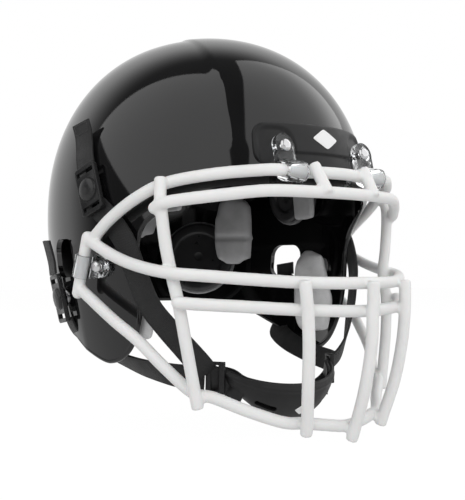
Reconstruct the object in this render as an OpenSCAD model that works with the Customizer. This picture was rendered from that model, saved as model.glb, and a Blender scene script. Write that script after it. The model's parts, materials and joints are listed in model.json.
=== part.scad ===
// American football helmet with a wire face mask, snap-on chin strap and
// air-cell liner.  All lengths are millimetres.
// +Z is up, the face looks towards -Y, the wearer's left is +X.
// Inside the modules the head datum is used: its Z = 0 is `lift` above the
// lowest point of the mask and its Y = 0 is `back` behind the box centre.

/* [Shell] */
// Half of the shell's greatest width
shell_half_w = 116.5; // [114:0.5:118]
// Depth of the shell in front of its widest section
shell_front = 141; // [139:0.5:142]
// Depth of the shell behind its widest section
shell_rear = 133; // [130:0.5:137]
// Height of the crown above the widest level
shell_crown = 138; // [136:0.5:141]
// Wall thickness of the moulded shell
shell_wall = 4; // [3.5:0.1:4.4]

/* [Face mask] */
// Radius of the vinyl-coated bars
bar_r = 4.2; // [3.9:0.1:4.3]
// Running clearance between the brow bar and its clips
clip_gap = 0.08; // [0.05:0.01:0.1]

/* [Chin strap] */
// Width of the webbing
strap_w = 17; // [15:0.5:18]
// Thickness of the webbing
strap_t = 1.6; // [1.4:0.1:1.8]
// Radius of the snap studs' posts
stud_r = 3.5; // [3.2:0.1:3.8]

/* [Liner] */
// Radius of the large shock absorbers
puck_r = 31; // [28:0.5:32]
// Thickness of the comfort pads
pad_t = 9; // [8:0.5:10]

/* [Hidden] */
$fn = 48;
lift = 112.22;     // height of the head datum above the lowest point
back = -11.81;     // from the box centre to the head datum, along Y
yc = 38;         // Y of the shell's widest section
zw = 45;         // Z of the shell's widest level
side_in = 0.093; // how fast the sides draw in below the widest level
rear_in = 0.30;  // and how fast the nape does
hinge_y = -107;  // the brow bar's axis inside its clips
hinge_z = 68;

module place() translate([0, back, lift]) children();
// every solid inside keeps the facets of its own surface
module faceted() resize([0, 0, 0]) union() children();

// ---------- vectors ----------
function unit(v) = v / norm(v);
function flip(P) = [for (p = P) [-p[0], p[1], p[2]]];
// the left-hand one is drawn up shorter, clear of its ear hole
lower_tail_short = [[117.5, 66, 0], [118, 67, 8], [118.4, 67.4, 10]];
function rev(P) = [for (i = [len(P) - 1:-1:0]) P[i]];
// a path given for one side, continued by its mirror image
function both(P) = concat(flip(rev(P)), [for (i = [1:len(P) - 1]) P[i]]);
function cr(a, b, c, d, t) =
  0.5 * (2 * b + (c - a) * t + (2 * a - 5 * b + 4 * c - d) * t * t
         + (3 * b - a - 3 * c + d) * t * t * t);
// smooth curve through the points P, m steps for each span
function smooth(P, m) = concat(
  [for (i = [0:len(P) - 2], j = [0:m - 1])
    cr(i == 0 ? 2 * P[0] - P[1] : P[i - 1], P[i], P[i + 1],
       i == len(P) - 2 ? 2 * P[i + 1] - P[i] : P[i + 2], j / m)],
  [P[len(P) - 1]]);
function tangent(P, i) = unit(P[min(i + 1, len(P) - 1)] - P[max(i - 1, 0)]);

// ---------- the shell's surface ----------
function level(z) = z > zw
  ? pow(max(0, 1 - pow((z - zw) / shell_crown, 2.17)), 1 / 2.17) : 1;
// az 0 is the front, 90 the wearer's left; el 90 is the crown and el < 0 is
// below the widest level; d is the depth below the outer skin
function skin(az, el, d) = let (
    up = el > 0,
    z = up ? zw + (shell_crown - d) * pow(sin(el), 0.92) : zw + 1.2 * el,
    lo = up ? 0 : (zw - z) / 100,
    rear = max(0, -cos(az)),
    k = up ? pow(cos(el), 0.92) : 1 - (side_in + (rear_in - side_in) * rear) * lo * lo,
    b = cos(az) > 0 ? shell_front : shell_rear)
  [(shell_half_w - d) * k * sin(az), yc - (b - d) * k * cos(az), z];
function skin_n(az, el) = let (
    e = 0.5,
    u = skin(az + e, el, 0) - skin(az - e, el, 0),
    v = skin(az, el + e, 0) - skin(az, el - e, 0)) unit(cross(u, v));
// frame on the skin: z along the outward normal, x turned by spin from level
function skin_frame(az, el, d, spin) = let (
    n = skin_n(az, el), p = skin(az, el, 0) - d * n,
    h = unit(cross([0, 0, 1], n)), w = cross(n, h),
    x = cos(spin) * h + sin(spin) * w, y = cross(n, x))
  [[x[0], y[0], n[0], p[0]], [x[1], y[1], n[1], p[1]], [x[2], y[2], n[2], p[2]], [0, 0, 0, 1]];
module on_skin(az, el, d = 0, spin = 0) multmatrix(skin_frame(az, el, d, spin)) children();

// closed dome of the skin at depth d, el0 at its open lower end
module dome(d, el0, na, ne) {
  pts = concat(
    [for (j = [0:ne - 1], i = [0:na - 1]) skin(360 * i / na, el0 + (88 - el0) * j / (ne - 1), d)],
    [[0, yc, zw + shell_crown - d], [0, yc, zw + 1.2 * el0]]);
  top = na * ne;
  polyhedron(pts, concat(
    [for (j = [0:ne - 2], i = [0:na - 1]) let (k = (i + 1) % na)
      [j * na + i, (j + 1) * na + i, (j + 1) * na + k, j * na + k]],
    [for (i = [0:na - 1]) let (k = (i + 1) % na) [(ne - 1) * na + i, top, (ne - 1) * na + k]],
    [for (i = [0:na - 1]) let (k = (i + 1) % na) [i, k, top + 1]]));
}
// plate that follows the skin between two depths
module patch(a0, a1, e0, e1, d0, d1, na, ne, round = 0) {
  function q(i, j, d) = let (
      u = 2 * i / na - 1, v = 2 * j / ne - 1,
      s = 1 - round * v * v * abs(u), t = 1 - round * u * u * abs(v))
    skin((a0 + a1) / 2 + (a1 - a0) / 2 * u * s, (e0 + e1) / 2 + (e1 - e0) / 2 * v * t, d);
  m = na + 1; c = m * (ne + 1);
  function id(i, j, s) = s * c + j * m + i;
  polyhedron(
    concat([for (j = [0:ne], i = [0:na]) q(i, j, d0)], [for (j = [0:ne], i = [0:na]) q(i, j, d1)]),
    concat(
      [for (j = [0:ne - 1], i = [0:na - 1]) [id(i, j, 0), id(i, j + 1, 0), id(i + 1, j + 1, 0), id(i + 1, j, 0)]],
      [for (j = [0:ne - 1], i = [0:na - 1]) [id(i, j, 1), id(i + 1, j, 1), id(i + 1, j + 1, 1), id(i, j + 1, 1)]],
      [for (i = [0:na - 1]) [id(i, 0, 0), id(i + 1, 0, 0), id(i + 1, 0, 1), id(i, 0, 1)]],
      [for (i = [0:na - 1]) [id(i + 1, ne, 0), id(i, ne, 0), id(i, ne, 1), id(i + 1, ne, 1)]],
      [for (j = [0:ne - 1]) [id(0, j + 1, 0), id(0, j, 0), id(0, j, 1), id(0, j + 1, 1)]],
      [for (j = [0:ne - 1]) [id(na, j, 0), id(na, j + 1, 0), id(na, j + 1, 1), id(na, j, 1)]]));
}

// ---------- round bars and flat webbing ----------
// bar along P with blunt rounded ends; ref is never along the bar
module bar(P, r, n = 8, ref = [0, 0, 1]) {
  m = len(P);
  t0 = tangent(P, 0); t1 = tangent(P, m - 1);
  C = concat([P[0] - 0.6 * r * t0], P, [P[m - 1] + 0.6 * r * t1]);
  R = concat([0.62 * r], [for (i = [1:m]) r], [0.62 * r]);
  T = concat([t0], [for (i = [0:m - 1]) tangent(P, i)], [t1]);
  k = m + 2;
  pts = [for (i = [0:k - 1]) let (s = unit(cross(T[i], ref)), u = cross(s, T[i]))
    for (j = [0:n - 1]) C[i] + R[i] * (cos(360 * (j + 0.5) / n) * s + sin(360 * (j + 0.5) / n) * u)];
  polyhedron(pts, concat(
    [[for (j = [0:n - 1]) j]],
    [[for (j = [n - 1:-1:0]) (k - 1) * n + j]],
    [for (i = [0:k - 2], j = [0:n - 1]) let (l = (j + 1) % n)
      [i * n + j, (i + 1) * n + j, (i + 1) * n + l, i * n + l]]));
}
// ribbon along P; its face looks away from the points C
module ribbon(P, w, t, C) {
  m = len(P);
  pts = [for (i = [0:m - 1]) let (
      g = tangent(P, i), o = P[i] - C, s = unit(cross(g, o)), u = cross(s, g))
    for (q = [[-1, -1], [1, -1], [1, 1], [-1, 1]]) P[i] + q[0] * w / 2 * s + q[1] * t / 2 * u];
  polyhedron(pts, concat(
    [[0, 3, 2, 1]], [[for (j = [0:3]) (m - 1) * 4 + j]],
    [for (i = [0:m - 2], j = [0:3]) let (l = (j + 1) % 4)
      [i * 4 + j, i * 4 + l, (i + 1) * 4 + l, (i + 1) * 4 + j]]));
}

// ---------- routes, right side first where a side is given ----------
edge = [[-150, 57], [-115, 57], [-80, 56], [-55, 51], [-38, 43], [-26, 33], [-21, 18], [-21, -8],
        [-18, -30], [-9, -48], [1, -57], [11, -60.5], [20, -60], [38, -53], [69, -39], [90, -29],
        [110, -23.5], [130, -21.5], [160, -22], [190, -22]];
brow_path = both([[0, -114, 68], [12, -112.6, 68], [22, -109, 68], [28, -107, 68], [34, -107, 68], [41, -107, 68], [48, -107, 68],
                  [54, -105, 68],
                  [62, -100, 67.5], [84, -81, 65], [103, -56, 60], [113, -36, 51],
                  [118.5, -13, 38], [121.5, 4, 25]]);
eye_path = both([[0, -122.6, 54], [30, -119, 54], [60, -107, 54], [84, -89, 51], [103, -72, 48],
                 [111, -64, 46], [113, -56, 43]]);
upper_mouth_path = both([[0, -135, -5.5], [22, -131, -5.5], [45, -121.5, -5], [72, -103, -3], [92, -86, -1],
                         [108.5, -67, 1], [115, -44, 5], [119.5, -20, 12], [123.5, 9, 24.5]]);
lower_mouth_path = both([[0, -134.5, -24], [22, -131, -23.5], [46, -121.5, -22.5], [74, -101, -20.5],
                         [96, -82, -19], [106, -72, -18]]);
chin_path = both([[0, -118, -101], [18, -116, -99], [33, -111, -97], [45, -105, -96], [62, -90, -89],
                  [80, -76, -80], [88, -64, -77], [101, -49, -60], [109, -32, -44], [117, -13, -30],
                  [123.2, 18, -10]]);
outer_path = [[109, -57, 62], [110, -59, 46], [107, -60, 20], [103, -61, 1], [101, -66, -18],
              [97, -69, -45], [91, -70.5, -76], [89, -71, -86]];
mid_path = [[48.4, -129, -5], [47, -130, -23], [45, -129, -46], [42, -125, -72], [37, -119, -96], [36, -117, -103]];
front_path = [[0, -143.5, -5.5], [0, -142.6, -24], [0, -141, -48], [0, -135, -76], [0, -126.5, -101], [0, -123.5, -109]];
strut_path = [[24, -113, 72], [22.5, -123.7, 54]];
upper_route = [[-115.6, 8, 47], [-113.4, -5, 37], [-110.5, -18, 22], [-107, -26, 2], [-99.5, -31, -20],
               [-90, -38, -35], [-77, -46, -50], [-66, -50, -60]];
lower_route = [[-107.6, 60, -32], [-103.5, 57, -42], [-96.5, 52, -49.3], [-90, 30, -57.6], [-86, 0, -64.8],
               [-80, -26, -69], [-70, -43, -71]];
upper_tail = [[-117, 21, 74], [-115.8, 25, 83], [-114, 28.5, 92], [-113.5, 31, 101], [-114.5, 33, 109]];
lower_tail = [[-117.5, 66, 0], [-118, 67, 8], [-119.5, 68, 16], [-122, 68.5, 25]];
head = [0, 38, 45];
U_AZ = -80.2; U_EL = 4.8;    // upper snaps on the skin
C_AZ = 77.4; C_EL = -32.5;   // side screws on the skin
L_AZ = -101.5; L_EL = -51.5;    // lower snaps on the skin

module mask_bar(P, m = 2, n = 8, ref = [0, 0, 1]) color([0.93, 0.93, 0.92]) place() bar(smooth(P, m), bar_r, n, ref);
module upright(P, m = 3) { bar(smooth(P, m), bar_r, 8, [0, 1, 0]); }

// ---------- shell ----------
module shell() color([0.03, 0.03, 0.03]) place() faceted() difference() {
  dome(0, -95, 60, 26);
  dome(shell_wall, -99, 60, 26);
  rotate([90, 0, 90]) translate([0, 0, -150]) linear_extrude(300)
    polygon(concat(smooth(edge, 3), [[190, -100], [-150, -100]]));
  // ear holes
  for (s = [-1, 1]) translate([s * 113, 57, 12]) rotate([0, 90, 0])
    linear_extrude(60, center = true) offset(9, $fn = 24) square([10, 14], center = true);
  // crown vents
  for (s = [-1, 1], a = [150]) let (p = skin(s * a, 52, 0), n = skin_n(s * a, 52))
    translate(p) rotate([0, acos(n[2]), atan2(n[1], n[0])])
      linear_extrude(30, center = true) offset(3.5, $fn = 16) square([12, 1], center = true);
}
// moulded plate over the brow, with a recess for each clip
module front_bumper() color([0.05, 0.05, 0.05]) place() faceted() difference() {
  patch(-27.5, 27.5, 9.8, 22.8, -3.4, 0.3, 20, 8, 0.12);
  for (s = [-1, 1]) translate([s * 38, -110, 76]) rotate([-14, 0, s * 10]) cube([23, 14.6, 26], center = true);
}
module nape_bumper() color([0.05, 0.05, 0.05]) place() faceted()
  patch(150, 210, -54, -31, -3, 0.3, 16, 4, 0.12);

// ---------- liner ----------
module bonnet() color([0.06, 0.06, 0.06]) place() faceted() difference() {
  dome(31, 8, 40, 10);
  dome(33, 2, 40, 10);
  translate([0, 0, 30 - 200]) cube([300, 400, 2 * 200 - 0], center = true);
  rotate([90, 0, 90]) translate([0, 0, -150]) linear_extrude(300)
    polygon([[-150, 0], [-62, 0], [-62, 84], [-150, 100]]);
}
// air-cell shock absorber: flat base on the shell, flared rim
module cell(r, h) rotate_extrude($fn = 48)
  polygon([[0, 0], [r - 4, 0], [r - 3.4, 1.6], [r - 5.5, 4], [r - 5.5, h * 0.45], [r, h * 0.62],
           [r, h - 3], [r - 3, h], [r - 9, h], [r - 11, h - 2], [0, h - 2]]);
module cell_at(az, el, r, h = 22.4) multmatrix(skin_frame(az, el, shell_wall + 3.5 + h, 0)) mirror([0, 0, 1]) translate([0, 0, -h]) cell(r, h);
module crown_absorbers() color([0.04, 0.04, 0.04]) place() {
  translate([0, yc - 4, zw + shell_crown - shell_wall - 3.8]) mirror([0, 0, 1]) cell(puck_r - 2, 21.8);
  for (s = [-1, 1]) cell_at(s * 90, 50, puck_r - 2);
  cell_at(180, 48, puck_r - 2);
}
module side_absorbers() color([0.04, 0.04, 0.04]) place()
  for (s = [-1, 1]) { cell_at(s * 88, 8, puck_r - 10); cell_at(s * 128, 26, puck_r - 3); }
module rear_absorbers() color([0.04, 0.04, 0.04]) place()
  for (s = [-1, 1]) cell_at(s * 138, -29, puck_r);
module front_absorbers() color([0.04, 0.04, 0.04]) place()
  { cell_at(0, 27, puck_r - 10); for (s = [-1, 1]) cell_at(s * 38, 26, puck_r - 10); }

module front_pad() color([0.5, 0.5, 0.5]) place() faceted() patch(-40, 40, 5, 26, 33.3, 33.3 + pad_t, 14, 4, 0.2);
module crown_pad() color([0.5, 0.5, 0.5]) place() faceted() patch(-150, 150, 62, 82, 33.3, 33.3 + pad_t, 24, 3, 0);
module rear_pad() color([0.5, 0.5, 0.5]) place() faceted() patch(160, 200, -14, 26, 33.3, 33.3 + pad_t, 8, 6, 0.15);
module side_pad(s) color([0.55, 0.55, 0.55]) place() faceted()
  patch(s > 0 ? 104 : -130, s > 0 ? 130 : -104, -33, 14, 33.3, 33.3 + pad_t + 3, 6, 8, 0.15);
module temple_pad(s) color([0.5, 0.5, 0.5]) place() faceted()
  patch(s > 0 ? 52 : -76, s > 0 ? 76 : -52, -4, 22, 33.3, 33.3 + pad_t, 6, 5, 0.15);
module side_pad_right() side_pad(-1);
module side_pad_left() side_pad(1);
module temple_pad_right() temple_pad(-1);
module temple_pad_left() temple_pad(1);
// cheek pad inside the jaw flap, standing proud of its front edge
module jaw_pad(s) color([0.75, 0.75, 0.75]) place() faceted() scale([s, 1, 1]) hull() {
  for (p = [[-14, -20], [-12, -42], [0, 14], [14, -44], [14, 17], [22, -18]])
    translate([(p[1] < -36 ? 90 : 93) - (p[0] < 0 ? 3 : 0), p[0], p[1]]) sphere(6.5, $fn = 16);
  for (p = [[6, -14], [8, -34], [12, 8], [12, -36]])
    translate([84, p[0], p[1]]) sphere(7, $fn = 16);
}
module jaw_pad_right() jaw_pad(-1);
module jaw_pad_left() jaw_pad(1);

// ---------- clips and fasteners of the mask ----------
// clear loop round the brow bar with a tongue up to its screw
module brow_clip(s) color([0.85, 0.87, 0.88, 0.5]) place() difference() {
  translate([s * 38, 0, 0]) union() {
    translate([-8.5, hinge_y, hinge_z]) rotate([0, 90, 0]) cylinder(r = bar_r + 3, h = 17);
    // tongue, leaning back with the brow
    translate([-9, hinge_y, hinge_z]) rotate([-14, 0, 0]) translate([0.8, 2.5, 0]) cube([16.4, 4.2, 19]);
    translate([0, hinge_y, hinge_z]) rotate([-14, 0, 0]) translate([0, 2.5, 19]) rotate([-90, 0, 0]) cylinder(r = 8.5, h = 4.2);
  }
  translate([s * 38 - 20, hinge_y, hinge_z]) rotate([0, 90, 0]) cylinder(r = bar_r + 0.05 + clip_gap, h = 40);
  translate([s * 38, hinge_y, hinge_z]) rotate([-14, 0, 0]) translate([0, -5, 19]) rotate([-90, 0, 0]) cylinder(r = 2.6, h = 30);
}
module brow_clip_right() brow_clip(-1);
module brow_clip_left() brow_clip(1);
module brow_screws() color([0.7, 0.7, 0.7]) place() for (s = [-1, 1])
  translate([s * 38, hinge_y, hinge_z]) rotate([-14, 0, 0]) translate([0, 2.4, 19]) rotate([-90, 0, 0]) {
    rotate_extrude() polygon([[0, -2.8], [2, -2.6], [3.6, -1.8], [4.5, -0.4], [4.5, 0], [2.5, 0], [2.5, 16], [0, 16]]);
  }
module t_nut() difference() {
  union() { cylinder(r = 8, h = 1.6); cylinder(r = 4, h = 5.6); }
  translate([0, 0, -1]) cylinder(r = 2.5, h = 12);
}
module brow_t_nuts() color([0.6, 0.6, 0.6]) place() for (s = [-1, 1])
  translate([s * 38, hinge_y, hinge_z]) rotate([-14, 0, 0]) translate([0, 18.6, 19]) rotate([90, 0, 0]) t_nut();
module side_t_nuts() color([0.6, 0.6, 0.6]) place() for (s = [-1, 1]) scale([s, 1, 1])
  on_skin(C_AZ, C_EL) translate([0, 0, -5.6]) t_nut();

// ---------- face mask ----------
module brow_bar() mask_bar(brow_path);
module brow_journals() color([0.93, 0.93, 0.92]) place() for (s = [-1, 1])
  translate([s * 38 - 10, hinge_y, hinge_z]) rotate([0, 90, 0]) cylinder(r = bar_r + 0.05, h = 20);
module eye_bar() mask_bar(eye_path);
module upper_mouth_bar() mask_bar(upper_mouth_path);
module lower_mouth_bar() mask_bar(lower_mouth_path);
module chin_bar() mask_bar(chin_path);
module outer_uprights() color([0.93, 0.93, 0.92]) place() faceted() { upright(outer_path); upright(flip(outer_path)); }
module centre_uprights() color([0.93, 0.93, 0.92]) place() faceted() { upright(mid_path); upright(flip(mid_path)); upright(front_path); }
module brow_struts() color([0.93, 0.93, 0.92]) place() faceted() for (P = [strut_path, flip(strut_path)]) bar(P, bar_r, 10, [1, 0, 0]);
// frame of the side post: z runs up the post
module at_post() translate([123.5, 21, -13]) rotate([18, 0, 0]) children();
module side_posts() color([0.93, 0.93, 0.92]) place() for (s = [-1, 1]) scale([s, 1, 1]) at_post() {
  cylinder(r = bar_r, h = 41); sphere(bar_r); translate([0, 0, 41]) sphere(bar_r);
}
// clear loop round the side post, its tongue forward to the screw
module side_clip(s) color([0.85, 0.87, 0.88, 0.5]) place() scale([s, 1, 1]) difference() {
  union() {
    at_post() translate([0, 0, 12]) cylinder(r = bar_r + 2, h = 16);
    on_skin(C_AZ, C_EL) translate([-1, -8, 0.7]) cube([11, 16, 5]);
    on_skin(C_AZ, C_EL) translate([0, 0, 0.7]) cylinder(r = 8, h = 5);
  }
  at_post() translate([0, 0, -8]) cylinder(r = bar_r, h = 56);
  on_skin(C_AZ, C_EL) translate([0, 0, -4]) cylinder(r = 2.6, h = 16);
}
module side_clip_right() side_clip(-1);
module side_clip_left() side_clip(1);
module side_screws() color([0.7, 0.7, 0.7]) place() for (s = [-1, 1]) scale([s, 1, 1])
  on_skin(C_AZ, C_EL) translate([0, 0, 5.75])
    rotate_extrude() polygon([[0, 2.8], [2, 2.6], [3.6, 1.8], [4.5, 0.4], [4.5, 0], [2.5, 0], [2.5, -5.2], [0, -5.2]]);

// ---------- chin strap ----------
module each_snap() for (s = [-1, 1]) { on_skin(s * -U_AZ, U_EL) children(); on_skin(s * -L_AZ, L_EL) children(); }
module snap_studs() color([0.6, 0.6, 0.6]) place() each_snap() rotate_extrude()
  polygon([[0, -0.4], [7, -0.4], [7, 1], [6.4, 1.6], [stud_r, 1.6], [stud_r, 5.4], [stud_r - 0.6, 6], [0, 6]]);
// snap cap with its socket, running on the stud's post
module snap_cap() rotate_extrude()
  polygon([[stud_r + 0.08, 2], [7.6, 2], [8.4, 2.8], [8.4, 6.4], [7.4, 8], [4, 8.8], [0, 9], [0, 7], [stud_r + 0.08, 6.4]]);
// plastic buckle with a slot at each end for the webbing
module buckle_plate() difference() {
  translate([0, 0, 3]) linear_extrude(3.4) difference() {
    offset(3, $fn = 24) square([30, 15], center = true);
    for (s = [-1, 1]) translate([s * 13.2, 0]) square([3.4, 17.6], center = true);
  }
  translate([0, 0, -1]) cylinder(r = 8.4, h = 12);
}
module U(s) place() on_skin(s * -U_AZ, U_EL, 0, s * 69) children();
module L(s) place() on_skin(s * -L_AZ, L_EL, 0, s * 84) children();
module upper_buckle_right() color([0.04, 0.04, 0.04]) U(-1) buckle_plate();
module upper_buckle_left() color([0.04, 0.04, 0.04]) U(1) buckle_plate();
module lower_buckle_right() color([0.04, 0.04, 0.04]) L(-1) buckle_plate();
module lower_buckle_left() color([0.04, 0.04, 0.04]) L(1) buckle_plate();
module upper_snap_right() color([0.1, 0.1, 0.1]) U(-1) snap_cap();
module upper_snap_left() color([0.1, 0.1, 0.1]) U(1) snap_cap();
module lower_snap_right() color([0.1, 0.1, 0.1]) L(-1) snap_cap();
module lower_snap_left() color([0.1, 0.1, 0.1]) L(1) snap_cap();
module webbing(P, C = head) color([0.05, 0.05, 0.05]) place() ribbon(smooth(P, 4), strap_w, strap_t, C);
module upper_strap_right() webbing(upper_route);
module upper_strap_left() webbing(flip(upper_route));
module lower_strap_right() webbing(lower_route);
module lower_strap_left() webbing(flip(lower_route));
module upper_tail_right() webbing(upper_tail);
module upper_tail_left() webbing(flip(upper_tail));
module lower_tail_right() webbing(lower_tail);
module lower_tail_left() webbing(lower_tail_short);

// chin cup: u runs from ear to ear, v from the lip down under the chin
function cup(u, v, d) = let (
    a = 78 * u, b = 82 * v, k = 1 - 0.55 * (1 - cos(b)),
    top = -76 + 13 * u * u, deep = 29 - 8 * u * u)
  [(54 - d) * k * sin(a), -44 - (36 - d) * k * cos(a), top - (deep - d) * sin(b)];
module cup_skin(d0, d1, u1, v0, v1, nu, nv) {
  m = nu + 1; c = m * (nv + 1);
  function id(i, j, s) = s * c + j * m + i;
  polyhedron(
    [for (d = [d0, d1], j = [0:nv], i = [0:nu]) cup(u1 * (2 * i / nu - 1), v0 + (v1 - v0) * j / nv, d)],
    concat(
      [for (j = [0:nv - 1], i = [0:nu - 1]) [id(i, j, 0), id(i + 1, j, 0), id(i + 1, j + 1, 0), id(i, j + 1, 0)]],
      [for (j = [0:nv - 1], i = [0:nu - 1]) [id(i, j, 1), id(i, j + 1, 1), id(i + 1, j + 1, 1), id(i + 1, j, 1)]],
      [for (i = [0:nu - 1]) [id(i + 1, 0, 0), id(i, 0, 0), id(i, 0, 1), id(i + 1, 0, 1)]],
      [for (i = [0:nu - 1]) [id(i, nv, 0), id(i + 1, nv, 0), id(i + 1, nv, 1), id(i, nv, 1)]],
      [for (j = [0:nv - 1]) [id(0, j, 0), id(0, j + 1, 0), id(0, j + 1, 1), id(0, j, 1)]],
      [for (j = [0:nv - 1]) [id(nu, j + 1, 0), id(nu, j, 0), id(nu, j, 1), id(nu, j + 1, 1)]]));
}
module chin_cup() color([0.05, 0.05, 0.05]) place() faceted() difference() {
  cup_skin(0, 3.5, 1, 0, 1, 20, 8);
  for (s = [-1, 1]) translate([s * 34, -72, -88]) rotate([0, 0, s * 42])
    cube([22, 40, 5], center = true);
}
module chin_pad() color([0.35, 0.35, 0.35]) place() faceted() cup_skin(3.5, 8.5, 0.72, 0.1, 0.96, 14, 6);
// bars at the ends of the cup that the webbing threads through
module cup_loops() color([0.05, 0.05, 0.05]) place() faceted() for (s = [-1, 1])
  translate([s * 56, -48.5, -71]) rotate([0, 0, s * 62]) difference() {
    cube([14, 3.4, 22], center = true);
    translate([s * 0, 0, 0]) cube([6, 10, 17.6], center = true);
  }

shell();
front_bumper();
nape_bumper();
bonnet();
crown_absorbers();
side_absorbers();
rear_absorbers();
front_absorbers();
front_pad();
crown_pad();
rear_pad();
side_pad_right();
side_pad_left();
temple_pad_right();
temple_pad_left();
jaw_pad_right();
jaw_pad_left();
brow_clip_right();
brow_clip_left();
brow_screws();
brow_t_nuts();
side_t_nuts();
snap_studs();
upper_strap_right();
upper_strap_left();
lower_strap_right();
lower_strap_left();
brow_bar();
brow_journals();
eye_bar();
upper_mouth_bar();
lower_mouth_bar();
chin_bar();
outer_uprights();
centre_uprights();
brow_struts();
side_posts();
side_clip_right();
side_clip_left();
side_screws();
upper_buckle_right();
upper_snap_right();
upper_tail_right();
upper_buckle_left();
upper_snap_left();
upper_tail_left();
lower_buckle_right();
lower_snap_right();
lower_tail_right();
lower_buckle_left();
lower_snap_left();
lower_tail_left();
chin_cup();
chin_pad();
cup_loops();
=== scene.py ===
import json, math
import bpy, bmesh
from mathutils import Vector, Matrix

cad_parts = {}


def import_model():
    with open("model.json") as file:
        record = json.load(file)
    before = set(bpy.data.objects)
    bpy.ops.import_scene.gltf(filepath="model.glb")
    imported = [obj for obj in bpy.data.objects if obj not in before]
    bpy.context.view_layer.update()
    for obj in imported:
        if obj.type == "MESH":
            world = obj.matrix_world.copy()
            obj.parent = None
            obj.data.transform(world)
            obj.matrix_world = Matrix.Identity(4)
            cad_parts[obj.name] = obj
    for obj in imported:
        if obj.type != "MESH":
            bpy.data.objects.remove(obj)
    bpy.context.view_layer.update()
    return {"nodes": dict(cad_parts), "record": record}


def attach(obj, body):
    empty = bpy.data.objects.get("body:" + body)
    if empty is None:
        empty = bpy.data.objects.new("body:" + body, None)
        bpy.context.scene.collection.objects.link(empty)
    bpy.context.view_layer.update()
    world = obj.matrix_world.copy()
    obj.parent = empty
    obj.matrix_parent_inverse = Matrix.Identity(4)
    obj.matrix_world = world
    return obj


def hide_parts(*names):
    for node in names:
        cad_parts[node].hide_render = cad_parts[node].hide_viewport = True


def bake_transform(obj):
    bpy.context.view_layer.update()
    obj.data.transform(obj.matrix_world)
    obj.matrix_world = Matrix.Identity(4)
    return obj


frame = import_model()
BACK, LIFT = -11.81, 112.22          # from the head datum to the row frame, mm
A, BF, BR, CU, YC, ZW = 116.5, 141.0, 133.0, 138.0, 38.0, 45.0
SI, RI = 0.093, 0.30
BAR = 4.2

def W(p):                             # head datum, mm -> row frame, m
    return Vector((p[0] / 1000, (p[1] + BACK) / 1000, (p[2] + LIFT) / 1000))
def sm(a, b, x):
    t = min(1, max(0, (x - a) / (b - a))); return t * t * (3 - 2 * t)
def skin(az, el, d=0.0):
    a, e = math.radians(az), math.radians(el)
    up = el > 0
    z = ZW + (CU - d) * max(0, math.sin(e)) ** 0.92 if up else ZW + 1.2 * el
    lo = 0 if up else (ZW - z) / 100
    rear = max(0, -math.cos(a))
    k = max(0, math.cos(e)) ** 0.92 if up else 1 - (SI + (RI - SI) * rear) * lo * lo
    b = BF if math.cos(a) > 0 else BR
    return Vector(((A - d) * k * math.sin(a), YC - (b - d) * k * math.cos(a), z))
def skin_n(az, el):
    e = 0.5
    u = skin(az + e, el) - skin(az - e, el); v = skin(az, el + e) - skin(az, el - e)
    return u.cross(v).normalized()
def skin_off(az, el, h):              # h out from the skin
    return skin(az, el) + skin_n(az, el) * h
def el_of(z):
    return math.degrees(math.asin(min(1, ((z - ZW) / CU) ** (1 / 0.92)))) if z > ZW else (z - ZW) / 1.2
def skin_frame(az, el, d=0.0, spin=0.0):
    n = skin_n(az, el); p = skin(az, el) - n * d
    h = Vector((0, 0, 1)).cross(n).normalized(); w = n.cross(h)
    s = math.radians(spin); x = h * math.cos(s) + w * math.sin(s); y = n.cross(x)
    m = Matrix((x, y, n)).transposed().to_4x4(); m.translation = p
    return m
def smooth(P, m):
    P = [Vector(p) for p in P]; out = []
    for i in range(len(P) - 1):
        a = P[i - 1] if i else 2 * P[0] - P[1]
        d = P[i + 2] if i < len(P) - 2 else 2 * P[-1] - P[-2]
        b, c = P[i], P[i + 1]
        for j in range(m):
            t = j / m
            out.append(0.5 * (2 * b + (c - a) * t + (2 * a - 5 * b + 4 * c - d) * t * t + (3 * b - a - 3 * c + d) * t ** 3))
    return out + [P[-1]]
def flip(P): return [(-p[0], p[1], p[2]) for p in P]
def both(P): return flip(P)[::-1] + list(P[1:])

# ------------------------------------------------------------------ routes
edge = [(-150, 57), (-115, 57), (-80, 56), (-55, 51), (-38, 43), (-26, 33), (-21, 18), (-21, -8),
        (-18, -30), (-9, -48), (1, -57), (11, -60.5), (20, -60), (38, -53), (69, -39), (90, -29),
        (110, -23.5), (130, -21.5), (160, -22), (190, -22)]
brow_path = both([(0, -114, 68), (12, -112.6, 68), (22, -109, 68), (28, -107, 68), (34, -107, 68), (41, -107, 68),
                  (48, -107, 68), (54, -105, 68), (62, -100, 67.5), (84, -81, 65), (103, -56, 60), (113, -36, 51),
                  (118.5, -13, 38), (121.5, 4, 25)])
eye_path = both([(0, -122.6, 54), (30, -119, 54), (60, -107, 54), (84, -89, 51), (103, -72, 48), (111, -64, 46), (113, -56, 43)])
upper_mouth_path = both([(0, -135, -5.5), (22, -131, -5.5), (45, -121.5, -5), (72, -103, -3), (92, -86, -1),
                         (108.5, -67, 1), (115, -44, 5), (119.5, -20, 12), (123.5, 9, 24.5)])
lower_mouth_path = both([(0, -134.5, -24), (22, -131, -23.5), (46, -121.5, -22.5), (74, -101, -20.5), (96, -82, -19), (106, -72, -18)])
chin_path = both([(0, -118, -101), (18, -116, -99), (33, -111, -97), (45, -105, -96), (62, -90, -89), (80, -76, -80),
                  (88, -64, -77), (101, -49, -60), (109, -32, -44), (117, -13, -30), (123.2, 18, -10)])
outer_path = [(109, -57, 62), (110, -59, 46), (107, -60, 20), (103, -61, 1), (101, -66, -18), (97, -69, -45), (91, -70.5, -76), (89, -71, -86)]
mid_path = [(48.4, -129, -5), (47, -130, -23), (45, -129, -46), (42, -125, -72), (37, -119, -96), (36, -117, -103)]
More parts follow.
